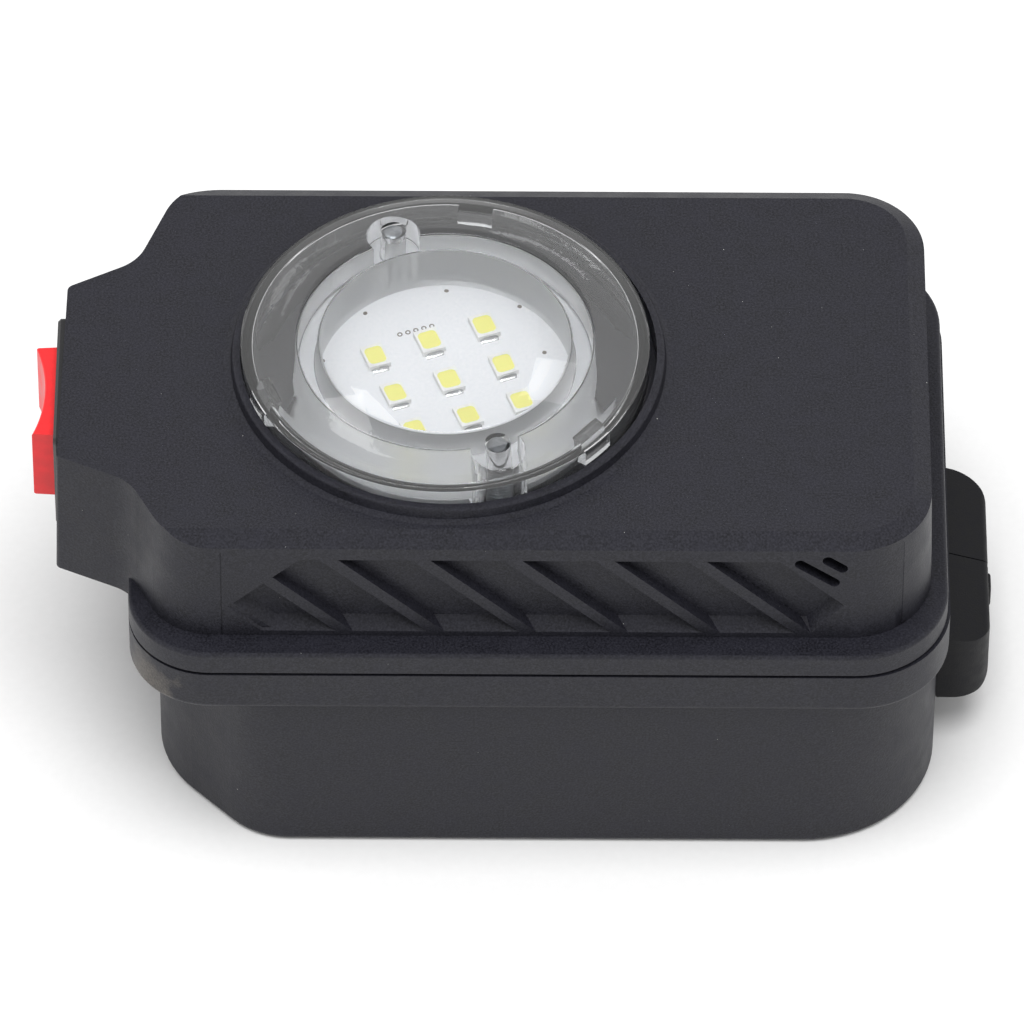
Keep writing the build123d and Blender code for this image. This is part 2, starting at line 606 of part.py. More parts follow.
def case_screws():
    """Four long self-tapping screws from the back, seated deep in their posts."""
    head = Pos(0, 0, CASE_SCREW_SEAT - 2) * Cylinder(2.8, 2, align=STANDING)
    head = fillet(head.edges().group_by(Axis.Z)[0], 0.5)
    head -= Pos(0, 0, CASE_SCREW_SEAT - 2) * (Box(3.4, 0.7, 1.6) + Box(0.7, 3.4, 1.6))
    screw = head + post(0, 0, 1.45, CASE_SCREW_SEAT - 0.1, CASE_SCREW_TIP)
    return Compound([Pos(x, y, 0) * screw for x, y in CASE_SCREW_PLACES])


def cap_clip():
    """A spring steel tongue in the back pocket; a cap's bracket slides in under its free end."""
    tongue = block((-9, 9), (-10, 15), (0.9, 2.1))
    tongue += block((-9, 9), (4.5, 15), (2.0, 3.6))
    lip = Pos(0, -10, 1.5) * Rot(-25, 0, 0) * block((-9, 9), (-3.0, 0.4), (-0.6, 0.6))
    tongue += lip
    for y in CLIP_SCREW_Y:
        tongue -= post(0, y, 1.25, -1, 5)
    return tongue


def clip_screws():
    """Two short screws that fix the clip."""
    screws = []
    for y in CLIP_SCREW_Y:
        head = fillet(post(0, y, 1.9, 0.1, 0.9).edges().group_by(Axis.Z)[0], 0.3)
        screws.append(head + post(0, y, 1.05, 0.8, 5.0))
    return Compound(screws)


def wire(start, level, end_y):
    """An insulated lead: down or up from its start to a level, across, and down to the control board."""
    x, y, _ = start
    points = [start, (x, y, level), (WIRE_END_X, end_y, level), (WIRE_END_X, end_y, PORT_BOARD_TOP + 0.02)]
    path = FilletPolyline(*points, radius=WIRE_BEND)
    return sweep(Plane(path @ 0, z_dir=path % 0) * Circle(WIRE_RADIUS), path=path)


def led_wires():
    """The light board's two leads, down through the pocket floor and over to the control board."""
    top = POCKET_FLOOR + SPREADER_THICK - 0.05
    leads = []
    for y in (-1.0, 1.0):
        start = (BEZEL_X + y * 0.9, 9.0 + y * 0.6, top)
        leads.append(wire(start, 34.5 + y, y))
    return Compound(leads)


def battery_wires():
    """The leads from the protection board, over the cells to the control board."""
    leads = []
    for y in (-10.0, -8.0):
        start = (CELL_LEFT - 2.0, y, 23.1)
        leads.append(wire(start, 28.2, y))
    return Compound(leads)


def switch_wires():
    """The switch's two leads, over the cells to the control board."""
    leads = []
    for y, end in ((SWITCH_Y, -3.4), (SWITCH_Y - 6.0, -5.6)):
        x = SWITCH_SEAT + SWITCH_BARREL[0] + 3.85
        start, level = (x, y, SWITCH_Z - 2.45), 31.2
        leads.append(wire(start, level, end))
    return Compound(leads)


PARTS = {
    "upper_housing": upper_housing,
    "lower_shell": lower_shell,
    "seam_gasket": seam_gasket,
    "lens": lens,
    "lens_gasket": lens_gasket,
    "heat_spreader": heat_spreader,
    "led_board": led_board,
    "led_frames": led_frames,
    "led_phosphors": led_phosphors,
    "lens_screws": lens_screws,
    "switch_body": switch_body,
    "switch_rocker": switch_rocker,
    "switch_plunger": switch_plunger,
    "switch_contact": switch_contact,
    "switch_terminals": switch_terminals,
    "cell_front": lambda: cell(-CELL_PITCH),
    "cell_middle": lambda: cell(0),
    "cell_back": lambda: cell(CELL_PITCH),
    "cell_cradles": cell_cradles,
    "nickel_strips": nickel_strips,
    "protection_board": protection_board,
    "battery_foam": battery_foam,
    "control_board": control_board,
    "control_chips": control_chips,
    "inductor": inductor,
    "usb_socket": usb_socket,
    "usb_tongue": usb_tongue,
    "dc_socket": dc_socket,
    "dc_pin": dc_pin,
    "board_screws": board_screws,
    "port_flap_front": lambda: port_flap(-1),
    "port_flap_back": lambda: port_flap(1),
    "flap_straps": flap_straps,
    "case_screws": case_screws,
    "cap_clip": cap_clip,
    "clip_screws": clip_screws,
    "led_wires": led_wires,
    "battery_wires": battery_wires,
    "switch_wires": switch_wires,
}

for name, make in PARTS.items():
    export_step(make(), f"parts/{name}.step")
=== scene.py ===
from math import cos, pi, radians, sin

import bpy
import numpy as np
from mathutils import Matrix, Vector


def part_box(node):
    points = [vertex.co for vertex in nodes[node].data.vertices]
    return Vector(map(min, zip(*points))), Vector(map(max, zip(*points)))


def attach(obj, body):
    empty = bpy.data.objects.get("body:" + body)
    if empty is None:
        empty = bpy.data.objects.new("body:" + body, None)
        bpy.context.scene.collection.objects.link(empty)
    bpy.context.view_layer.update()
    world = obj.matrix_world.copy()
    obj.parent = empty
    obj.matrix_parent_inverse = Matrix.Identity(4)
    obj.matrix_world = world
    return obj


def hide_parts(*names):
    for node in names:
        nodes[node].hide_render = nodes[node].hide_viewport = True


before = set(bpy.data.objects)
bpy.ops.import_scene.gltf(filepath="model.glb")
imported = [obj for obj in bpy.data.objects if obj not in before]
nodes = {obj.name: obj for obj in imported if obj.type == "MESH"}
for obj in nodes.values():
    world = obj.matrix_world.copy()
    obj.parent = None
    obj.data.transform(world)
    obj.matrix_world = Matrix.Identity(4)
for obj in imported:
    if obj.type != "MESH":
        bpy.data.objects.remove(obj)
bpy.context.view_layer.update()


# ---------------------------------------------------------------- camera
# A long lens 1.33 m away looks down on the louvred front from 47 degrees, almost square on.
MM = 0.001
VIEW_DISTANCE = 1332.0
VIEW_ELEVATION = radians(47.234)
VIEW_AZIMUTH = radians(0.063)
VIEW_ROLL = radians(0.337)
AIM_HEIGHT = 28.0
AIM_SIDE, AIM_UP = -0.55, -2.35

side = np.array((cos(VIEW_AZIMUTH), -sin(VIEW_AZIMUTH), 0.0))
ahead = np.array((sin(VIEW_AZIMUTH), cos(VIEW_AZIMUTH), 0.0))
vertical = np.array((0.0, 0.0, 1.0))
up = ahead * sin(VIEW_ELEVATION) + vertical * cos(VIEW_ELEVATION)
back = vertical * sin(VIEW_ELEVATION) - ahead * cos(VIEW_ELEVATION)
eye = vertical * AIM_HEIGHT + side * AIM_SIDE + up * AIM_UP + back * VIEW_DISTANCE
rolled_side = side * cos(VIEW_ROLL) + up * sin(VIEW_ROLL)
rolled_up = up * cos(VIEW_ROLL) - side * sin(VIEW_ROLL)

camera_data = bpy.data.cameras.new("camera")
camera_data.sensor_width = 36.0
camera_data.lens = 381.5
camera_data.clip_start = 0.05
camera_data.clip_end = 30.0
camera = bpy.data.objects.new("camera", camera_data)
bpy.context.scene.collection.objects.link(camera)
placing = np.eye(4)
placing[:3, :4] = np.stack([rolled_side, rolled_up, back, eye * MM], axis=1)
camera.matrix_world = Matrix(placing.tolist())
bpy.context.scene.camera = camera
bpy.context.scene.view_settings.view_transform = "Standard"


# ---------------------------------------------------------------- floor and light
# A pale paper sweep under the lamp, in a white tent: even light from all round, a broad softbox
# overhead that only fills, and two narrow strips behind, whose reflections lie on the window.


def linear(code):
    """An sRGB hex colour such as "e8453c" as the linear RGBA that the shaders take."""
    parts = np.array([int(code[i : i + 2], 16) / 255 for i in (0, 2, 4)])
    straight = np.where(parts <= 0.04045, parts / 12.92, ((parts + 0.055) / 1.055) ** 2.4)
    return (*straight.tolist(), 1.0)


def add(tree, kind, inputs=None, **settings):
    """Adds one node: settings are its own properties, inputs its sockets, each a value or a link."""
    made = tree.nodes.new("ShaderNode" + kind)
    for key, value in settings.items():
        setattr(made, key, value)
    for key, value in (inputs or {}).items():
        if isinstance(value, bpy.types.NodeSocket):
            tree.links.new(value, made.inputs[key])
        else:
            made.inputs[key].default_value = value
    return made


def surface(name, **sockets):
    """A new material with one Principled shader, its plain values set on its own sockets."""
    material = bpy.data.materials.new(name)
    material.use_nodes = True
    tree = material.node_tree
    tree.nodes.clear()
    values = {key.replace("_", " "): value for key, value in sockets.items()}
    shader = add(tree, "BsdfPrincipled", values)
    add(tree, "OutputMaterial", {"Surface": shader.outputs["BSDF"]})
    place = add(tree, "TexCoord").outputs["Object"]
    return material, tree, shader, place


def mesh_piece(name, shapes, material, sharp=32.0):
    """An object at the origin from shapes, each one its points in millimetres and its faces. Faces meeting
    at more than the sharp angle keep a crisp edge."""
    points, faces = [], []
    for more_points, more_faces in shapes:
        faces += [tuple(int(corner) + len(points) for corner in face) for face in more_faces]
        points += (np.asarray(more_points, float) * MM).tolist()
    mesh = bpy.data.meshes.new(name)
    mesh.from_pydata(points, [], faces)
    mesh.materials.append(material)
    mesh.polygons.foreach_set("use_smooth", np.ones(len(mesh.polygons), bool))
    mesh.set_sharp_from_angle(angle=radians(sharp))
    piece = bpy.data.objects.new(name, mesh)
    bpy.context.scene.collection.objects.link(piece)
    return piece


FLOOR_HALF = 3000.0
FLOOR_DROP = 0.15
paper, tree, shader, place = surface("white_paper", Roughness=0.9, Specular_IOR_Level=0.1)
fibres = add(tree, "TexNoise", {"Vector": place, "Scale": 900.0, "Detail": 3.0})
ends = {6: linear("dedede"), 7: linear("e3e3e3")}
tone = add(tree, "Mix", {"Factor": fibres.outputs["Fac"], **ends}, data_type="RGBA")
tree.links.new(tone.outputs[2], shader.inputs["Base Color"])
corners = [(x * FLOOR_HALF, y * FLOOR_HALF, -FLOOR_DROP) for x, y in ((-1, -1), (1, -1), (1, 1), (-1, 1))]
floor = mesh_piece("floor", [(corners, [(0, 1, 2, 3)])], paper)

world = bpy.data.worlds.new("tent")
world.use_nodes = True
world.node_tree.nodes["Background"].inputs["Color"].default_value = (1.0, 1.0, 1.0, 1.0)
world.node_tree.nodes["Background"].inputs["Strength"].default_value = 0.8
bpy.context.scene.world = world


def softbox(name, azimuth, elevation, distance, width, height, radiance, mirrored=True):
    """A rectangular lamp aimed at the origin; azimuth turns from +Y to +X in degrees, sizes in metres.
    One that isn't mirrored only fills: no sheen or reflection comes from it."""
    around, rise = radians(azimuth), radians(elevation)
    away = np.array((sin(around) * cos(rise), cos(around) * cos(rise), sin(rise)))
    across = np.array((cos(around), -sin(around), 0.0))
    data = bpy.data.lights.new(name, "AREA")
    data.shape = "RECTANGLE"
    data.size = width
    data.size_y = height
    data.energy = radiance * pi * width * height
    lamp = bpy.data.objects.new(name, data)
    bpy.context.scene.collection.objects.link(lamp)
    matrix = np.eye(4)
    matrix[:3, :4] = np.stack([across, np.cross(away, across), away, away * distance], axis=1)
    lamp.matrix_world = Matrix(matrix.tolist())
    lamp.visible_glossy = mirrored


softbox("overhead_softbox", 180.0, 78.0, 1.6, 1.2, 1.0, 6.6, mirrored=False)
softbox("left_strip", -9.7, 57.2, 1.3, 0.045, 0.21, 2.6)
softbox("right_strip", 7.5, 51.5, 1.3, 0.045, 0.08, 1.6)


# ---------------------------------------------------------------- lower shell and upper housing
# The two halves of the case: black ABS, injection moulded in a spark-eroded tool, so the outside is a
# fine matt grain. Dust settles on it, and a corner of the rim has been rubbed on rock.


def paint(material, *names):
    """Gives CAD nodes this material in every slot that they have."""
    for name in names:
        for slot in nodes[name].material_slots:
            slot.material = material


def mix(tree, factor, low, high):
    """A colour between two others, each a hex code or a socket, by a factor from 0 to 1."""
    ends = [linear(end) if isinstance(end, str) else end for end in (low, high)]
    blend = add(tree, "Mix", {"Factor": factor, 6: ends[0], 7: ends[1]}, data_type="RGBA")
    return blend.outputs[2]


def remap(tree, value, low, high, first, last):
    """The value carried from low..high to first..last, and held at the ends."""
    return add(tree, "MapRange", {"Value": value, 1: low, 2: high, 3: first, 4: last}).outputs["Result"]


def math(tree, operation, first, second):
    """One arithmetic step on two numbers or sockets."""
    return add(tree, "Math", {0: first, 1: second}, operation=operation).outputs[0]


def noise(tree, place, size, detail=3.0):
    """Noise with features of the given size in millimetres."""
    return add(tree, "TexNoise", {"Vector": place, "Scale": 1 / (size * MM), "Detail": detail}).outputs["Fac"]


def overlay(tree, shader, factor, code):
    """Lays one more colour over the shader's base colour, where the factor is 1."""
    below = shader.inputs["Base Color"].links[0].from_socket
    tree.links.new(mix(tree, factor, below, code), shader.inputs["Base Color"])


def relief(tree, shader, height, depth, strength=1.0):
    """Bumps of the given depth in millimetres on the shader's normal."""
    bump = add(tree, "Bump", {"Height": height, "Strength": strength, "Distance": depth * MM})
    tree.links.new(bump.outputs["Normal"], shader.inputs["Normal"])


def varied(name, size, colours, roughness, depth=0.0, **sockets):
    """A material whose colour, roughness and relief follow one noise of the given size in millimetres."""
    material, tree, shader, place = surface(name, **sockets)
    value = noise(tree, place, size)
    spread = remap(tree, value, 0.3, 0.7, 0.0, 1.0)
    tree.links.new(mix(tree, spread, *colours), shader.inputs["Base Color"])
    tree.links.new(remap(tree, value, 0.3, 0.7, *roughness), shader.inputs["Roughness"])
    if depth:
        relief(tree, shader, value, depth)
    return material, tree, shader, place


GRAIN_SIZE, GRAIN_DEPTH = 0.26, 0.045
MOTTLE_SIZE = 3.0
DUST_SPACING, DUST_SIZE = 1.9, 0.075
SCUFF_PLACE = (-44.0, -29.5, 27.5)
SCUFF_REACH = 4.0

abs_black, tree, shader, place = surface("moulded_black_abs", IOR=1.52, Specular_IOR_Level=0.28)
grain = noise(tree, place, GRAIN_SIZE, 2.0)
mottle = noise(tree, place, MOTTLE_SIZE, 4.0)
body = mix(tree, remap(tree, mottle, 0.3, 0.7, 0.0, 1.0), "121217", "1b1b22")
speckled = mix(tree, remap(tree, grain, 0.35, 0.75, 0.0, 1.0), body, "2a2a31")
scuff_middle = [distance * MM for distance in SCUFF_PLACE]
offset = add(tree, "VectorMath", {0: place, 1: scuff_middle}, operation="DISTANCE")
ragged = math(tree, "MULTIPLY", offset.outputs["Value"], mottle)
scuff = remap(tree, ragged, 0.2 * SCUFF_REACH * MM, 0.55 * SCUFF_REACH * MM, 1.0, 0.0)
rubbed = mix(tree, math(tree, "MULTIPLY", scuff, grain), speckled, "6a645c")
motes = add(tree, "TexVoronoi", {"Vector": place, "Scale": 1 / (DUST_SPACING * MM), "Randomness": 1.0})
mote_size = remap(tree, mottle, 0.42, 0.7, 0.0, DUST_SIZE / DUST_SPACING)
dust = math(tree, "LESS_THAN", motes.outputs["Distance"], mote_size)
tree.links.new(mix(tree, dust, rubbed, "a8a8a4"), shader.inputs["Base Color"])
tree.links.new(remap(tree, mottle, 0.3, 0.7, 0.42, 0.52), shader.inputs["Roughness"])
relief(tree, shader, grain, GRAIN_DEPTH, 0.8)
paint(abs_black, "lower_shell", "upper_housing")


# ---------------------------------------------------------------- seam gasket and window gasket
# Flat rings of black EPDM rubber, cut from sheet and squeezed between the mouldings.
rubber, *_ = varied("epdm_rubber", 0.8, ("0d0d0e", "19191b"), (0.7, 0.9), 0.02, IOR=1.5)
paint(rubber, "seam_gasket", "lens_gasket")


# ---------------------------------------------------------------- cells
# Three 18650 lithium cells lying side by side in blue PVC shrink wrap, their steel ends bare, held
# between two moulded nylon cradles and joined by spot-welded nickel strips.
WRAP_EDGE = 0.06
WELD_SPACING, WELD_DEPTH = 2.4, 0.12

wrap, tree, shader, place = varied("blue_shrink_wrap", 9.0, ("14467e", "1c5596"), (0.22, 0.36), IOR=1.53)
cell_low, cell_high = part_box("cell_front")
along = add(tree, "SeparateXYZ", {0: place}).outputs["X"]
positive = math(tree, "GREATER_THAN", along, cell_high.x - WRAP_EDGE * MM)
negative = math(tree, "LESS_THAN", along, cell_low.x + WRAP_EDGE * MM)
bare = math(tree, "ADD", positive, negative)
overlay(tree, shader, bare, "b9b8b4")
tree.links.new(bare, shader.inputs["Metallic"])
creases = noise(tree, place, 2.2, 5.0)
relief(tree, shader, creases, 0.06, 0.6)
paint(wrap, "cell_front", "cell_middle", "cell_back")

cradle, *_ = varied("moulded_black_nylon", 0.5, ("101011", "1b1b1c"), (0.4, 0.55), 0.03, IOR=1.53)
paint(cradle, "cell_cradles")

strip, tree, shader, place = varied("rolled_nickel", 0.7, ("a9a69c", "c4c0b6"), (0.26, 0.4), Metallic=1.0)
welds = add(tree, "TexVoronoi", {"Vector": place, "Scale": 1 / (WELD_SPACING * MM), "Randomness": 0.25})
relief(tree, shader, remap(tree, welds.outputs["Distance"], 0.12, 0.28, 0.0, 1.0), WELD_DEPTH)
paint(strip, "nickel_strips")


# ---------------------------------------------------------------- battery foam
# A pad of closed-cell polyethylene foam, die cut, that keeps the cells from rattling.
foam, tree, shader, place = varied("closed_cell_foam", 0.9, ("1a1a1b", "2a2a2b"), (0.8, 0.95), IOR=1.45)
cells = add(tree, "TexVoronoi", {"Vector": place, "Scale": 1 / (0.5 * MM)}).outputs["Distance"]
relief(tree, shader, cells, 0.2)
paint(foam, "battery_foam")


# ---------------------------------------------------------------- control and protection boards
# Glass-epoxy boards 1.6 and 1.2 mm thick under green solder mask, with copper tracks that stand a little
# proud, chips in black epoxy, and one potted ferrite inductor.
TRACK_PITCH = 1.27

board, tree, shader, place = varied("green_solder_mask", 0.6, ("0c3d20", "13502b"), (0.22, 0.34), IOR=1.52)
tracks = add(
    tree,
    "TexBrick",
    {"Vector": place, "Scale": 1 / (4 * TRACK_PITCH * MM), "Mortar Size": 0.035, "Mortar Smooth": 0.2},
    offset=0.5,
).outputs["Fac"]
overlay(tree, shader, tracks, "2f7a44")
relief(tree, shader, tracks, 0.035)
paint(board, "control_board", "protection_board")

epoxy, *_ = varied("black_epoxy", 0.25, ("131313", "1f1f20"), (0.45, 0.6), 0.02, IOR=1.55)
paint(epoxy, "control_chips")

ferrite, *_ = varied("sintered_ferrite", 0.35, ("2b2b2d", "3c3c3f"), (0.5, 0.7), 0.05, IOR=1.6)
paint(ferrite, "inductor")


# ---------------------------------------------------------------- charging sockets
# A USB-C receptacle drawn from tinned steel, its tongue of black nylon with gold contacts at 0.5 mm, and
# a 3.5 mm power jack with a tinned centre pin.
CONTACT_PITCH = 0.5

tin, tree, shader, place = varied("tinned_steel", 1.2, ("bfc0c0", "d3d4d3"), (0.16, 0.3), Metallic=1.0)
relief(tree, shader, noise(tree, place, 0.5, 4.0), 0.01)
paint(tin, "usb_socket", "dc_pin")

tongue, tree, shader, place = varied("tongue_nylon", 0.3, ("0e0e0f", "171718"), (0.35, 0.5), IOR=1.53)
across = math(tree, "MULTIPLY", add(tree, "SeparateXYZ", {0: place}).outputs["Y"], 1 / (CONTACT_PITCH * MM))
finger = math(tree, "GREATER_THAN", math(tree, "FRACT", across, 0.0), 0.5)
overlay(tree, shader, finger, "d9b25a")
tree.links.new(finger, shader.inputs["Metallic"])
paint(tongue, "usb_tongue")

jack, *_ = varied("jack_black_pbt", 0.4, ("0f0f10", "1a1a1c"), (0.3, 0.45), 0.02, IOR=1.55)
paint(jack, "dc_socket")


# ---------------------------------------------------------------- wires
# Pairs of stranded leads, one red and one black in each pair, in smooth PVC. One material colours both
# leads of a pair, because a plane parts them.


def lead_pair(name, direction, limit):
    """PVC that is black where the place along a direction passes the limit in millimetres, and red before."""
    material, tree, shader, place = varied(name, 2.5, ("8e0f12", "a81518"), (0.28, 0.4), IOR=1.53)
    reach = add(tree, "VectorMath", {0: place, 1: direction}, operation="DOT_PRODUCT").outputs["Value"]
    past = math(tree, "GREATER_THAN", reach, limit * MM)
    overlay(tree, shader, past, "101011")
    relief(tree, shader, noise(tree, place, 0.6), 0.02)
    return material


RUN_FALL = 9 / 48.1
LIGHT_HOLE_X, LIGHT_HOLE_Y = -8.35, 9.0
light_limit = LIGHT_HOLE_Y + RUN_FALL * LIGHT_HOLE_X
paint(lead_pair("light_lead_pvc", (RUN_FALL, 1.0, 0.0), light_limit), "led_wires")
paint(lead_pair("battery_lead_pvc", (0.0, 1.0, 0.0), -9.0), "battery_wires")
paint(lead_pair("switch_lead_pvc", (0.0, 1.0, 0.0), -4.75), "switch_wires")


# ---------------------------------------------------------------- rocker switch
# A snap-in switch: black nylon bezel and barrel, red nylon rocker on two trunnions, a white acetal
# plunger under it that tips a brass contact, and three brass terminals.
nylon_black, *_ = varied("switch_black_nylon", 0.6, ("0e0e10", "18181b"), (0.3, 0.42), 0.015, IOR=1.53)
paint(nylon_black, "switch_body")

red, tree, shader, place = varied("rocker_red_nylon", 1.6, ("d91419", "ea1c22"), (0.34, 0.44), IOR=1.53)
relief(tree, shader, noise(tree, place, 0.35, 2.0), 0.012)
paint(red, "switch_rocker")

acetal, *_ = varied("white_acetal", 0.8, ("d9d8d2", "e8e7e2"), (0.3, 0.4), 0.01, IOR=1.48)
paint(acetal, "switch_plunger")

brass, tree, shader, place = varied("stamped_brass", 0.9, ("b58f48", "cfa95e"), (0.22, 0.38), Metallic=1.0)
relief(tree, shader, noise(tree, place, 0.25, 4.0), 0.012)
paint(brass, "switch_contact", "switch_terminals")


# ---------------------------------------------------------------- port flaps
# Two soft flaps of black rubber over the sockets, each on a strap pushed through a slot in the wall.
flap, tree, shader, place = varied("flap_rubber", 1.4, ("09090b", "131317"), (0.5, 0.66), IOR=1.5)
shader.inputs["Specular IOR Level"].default_value = 0.25
relief(tree, shader, noise(tree, place, 0.22, 2.0), 0.03)
paint(flap, "port_flap_front", "port_flap_back", "flap_straps")


# ---------------------------------------------------------------- screws and cap clip
# Zinc-plated steel screws with cross recesses, and a cap clip bent from blued spring steel strip.
zinc, tree, shader, place = varied("zinc_plated_steel", 0.8, ("6f7276", "8d9094"), (0.28, 0.44), Metallic=1.0)
relief(tree, shader, noise(tree, place, 0.2, 4.0), 0.01)
paint(zinc, "lens_screws", "board_screws", "case_screws", "clip_screws")

ROLLING_SIZE = 0.12

blues = ("2c2f38", "41454f")
blued, tree, shader, place = varied("blued_spring_steel", 3.0, blues, (0.3, 0.46), Metallic=1.0)
drawn = add(tree, "VectorMath", {0: place, 1: (1.0, 0.02, 1.0)}, operation="MULTIPLY").outputs["Vector"]
relief(tree, shader, noise(tree, drawn, ROLLING_SIZE, 2.0), 0.01)
paint(blued, "cap_clip")


# ---------------------------------------------------------------- light board
# A white solder-masked aluminium board on a milled aluminium spreader, with nine surface-mounted
# emitters: white moulded bodies whose wells are filled with yellow phosphor silicone.
BOARD_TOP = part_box("led_board")[1].z / MM

spreader, tree, shader, place = surface("milled_aluminium", Metallic=1.0, Roughness=0.32)
cuts = add(tree, "TexWave", {"Vector": place, "Scale": 1 / (0.9 * MM), "Distortion": 1.5, "Detail": 3.0})
tree.links.new(mix(tree, cuts.outputs["Fac"], "c3c5c8", "d9dadc"), shader.inputs["Base Color"])
paint(spreader, "heat_spreader")

mask_white, *_ = varied("white_solder_mask", 0.4, ("f2f4f7", "fbfbfd"), (0.28, 0.36), 0.015, IOR=1.5)
paint(mask_white, "led_board")

led_white, *_ = varied("led_body_white", 0.5, ("f4f4f1", "fdfdfb"), (0.36, 0.44), IOR=1.55)
paint(led_white, "led_frames")

phosphor, *_ = varied("phosphor_silicone", 0.12, ("fff97a", "fffca0"), (0.14, 0.24), 0.01, IOR=1.41)
paint(phosphor, "led_phosphors")


# ---------------------------------------------------------------- solder fillets
# Tin solder at both ends of each emitter: it wets the pad and climbs the body in a hollow slope.
LED_MIDDLE, LED_TURN = (-8.3, 0.0), radians(21.0)
LED_COLUMN, LED_ROW = 6.9, 6.6
LED_HALF = 1.75
SOLDER_HALF, SOLDER_REACH, SOLDER_RISE = 1.15, 0.5, 0.42


def grid_faces(rows, columns):
    """Quads between neighbouring rows of points. Each row is a closed ring, and the quads face outwards
    where the rings run anticlockwise, seen with the rows going away."""
    row, column = np.meshgrid(np.arange(rows - 1), np.arange(columns), indexing="ij")
    here, below = row * columns, (row + 1) * columns
    after = (column + 1) % columns
    quads = np.stack([below + column, below + after, here + after, here + column], axis=-1)
    return quads.reshape(-1, 4).tolist()


def turn(points, angle):
    """Points turned about the vertical through the origin."""
    points = np.array(points, float)
    x, y = points[..., 0].copy(), points[..., 1].copy()
    points[..., 0] = x * cos(angle) - y * sin(angle)
    points[..., 1] = x * sin(angle) + y * cos(angle)
    return points


def fillet(side, middle):
    """A solder slope at one end of an emitter. Its height falls with the square of what is left of the
    way out, and with the fourth power of the place across."""
    across = np.linspace(-1, 1, 9)
    out = np.linspace(0, 1, 7)
    height = SOLDER_RISE * (1 - out[None]) ** 2 * (1 - 0.7 * across[:, None] ** 4) + 0.02
    spread = 1 - 0.12 * out[None]
    top = np.stack(
        [
            SOLDER_HALF * across[:, None] * spread,
            np.broadcast_to(LED_HALF + 0.004 + SOLDER_REACH * out[None], height.shape),
            BOARD_TOP + height,
        ],
        axis=-1,
    )
    foot = top[:, ::-1].copy()
    foot[..., 2] = BOARD_TOP
    rings = np.concatenate([top, foot], axis=1)
    columns = rings.shape[1]
    points = turn(rings.reshape(-1, 3), 0.0 if side > 0 else pi)
    points = turn(points + (*middle, 0.0), LED_TURN) + (*LED_MIDDLE, 0.0)
    faces = grid_faces(len(across), columns)
    ends = [tuple(range(columns)), tuple(range(len(points) - 1, len(points) - columns - 1, -1))]
    return points, faces + ends


places = [(column * LED_COLUMN, row * LED_ROW) for column in (-1, 0, 1) for row in (-1, 0, 1)]
solder = mesh_piece("solder_fillets", [fillet(side, middle) for middle in places for side in (-1, 1)], tin)
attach(solder, "housing")


# ---------------------------------------------------------------- board marks
# Small dark test points and a row of ring-shaped vias, bare copper under lacquer, on the white board.
DOTS = [(-18.49, 11.22), (-8.70, 14.71), (0.15, 12.49), (-23.73, 3.32), (6.1, 2.6), (3.24, 4.89)]
DOT_RADIUS = 0.28
VIAS = [(-14.15 + 0.935 * i, 7.66 + 0.333 * i) for i in range(5)]
VIA_OUTER, VIA_INNER = 0.32, 0.18
MARK_HEIGHT = 0.03


def turned(profile, centre, steps=160):
    """A turned solid: each profile point (r, z), from the top pole outwards and down to the bottom pole,
    is carried round the vertical line through centre. Poles are single points."""
    profile = np.asarray(profile, float)
    turns = np.linspace(0, 2 * pi, steps, endpoint=False)
    inner = profile[1:-1]
    x = centre[0] + inner[:, :1] * np.cos(turns)
    y = centre[1] + inner[:, :1] * np.sin(turns)
    z = np.repeat(inner[:, 1:], steps, axis=1)
    ring = np.stack([x, y, z], axis=-1).reshape(-1, 3)
    top, last = len(ring), (len(inner) - 1) * steps
    points = np.vstack([ring, (*centre, profile[0, 1]), (*centre, profile[-1, 1])])
    faces = grid_faces(len(inner), steps)
    faces += [(top, i, (i + 1) % steps) for i in range(steps)]
    faces += [(top + 1, last + (i + 1) % steps, last + i) for i in range(steps)]
    return points, faces


def washer(centre, outer, inner, low, high, steps=32):
    """A flat ring: a closed four-sided section carried round the vertical line through centre."""
    turns = np.linspace(0, 2 * pi, steps, endpoint=False)
    section = [(outer, high), (outer, low), (inner, low), (inner, high)]
    rings = [
        np.stack([centre[0] + r * np.cos(turns), centre[1] + r * np.sin(turns), np.full(steps, z)], axis=-1)
        for r, z in section + section[:1]
    ]
    points = np.concatenate(rings[:4])
    faces = np.array(grid_faces(5, steps)) % (4 * steps)
    return points, faces.tolist()


copper, *_ = varied("lacquered_copper", 0.2, ("6f675f", "8c847b"), (0.3, 0.45), IOR=1.5)
low, high = BOARD_TOP - 0.01, BOARD_TOP + MARK_HEIGHT
shapes = [turned([(0, high), (DOT_RADIUS, high), (DOT_RADIUS, low), (0, low)], dot, 32) for dot in DOTS]
shapes += [washer(via, VIA_OUTER, VIA_INNER, low, high) for via in VIAS]
marks = mesh_piece("board_marks", shapes, copper)
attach(marks, "housing")


# ---------------------------------------------------------------- window screws
# Two M3 thread-forming screws that come up through the floor, the spreader and the light board into the
# window's bosses: rolled helical thread, flat tip with a dimple, pan head with a cross recess.
BOSS_RING, BOSS_RADIUS, BOSS_HOLE = 18.8, 3.3, 1.56
BOSS_ANGLES = (110.0, -70.0)
THREAD_ROOT, THREAD_CREST, THREAD_PITCH = 1.18, 1.48, 0.5
THREAD_STEPS = 8
HEAD_RADIUS, HEAD_HEIGHT = 2.75, 1.95
RECESS_HALF, RECESS_WIDTH, RECESS_DEPTH = 1.5, 0.7, 0.8

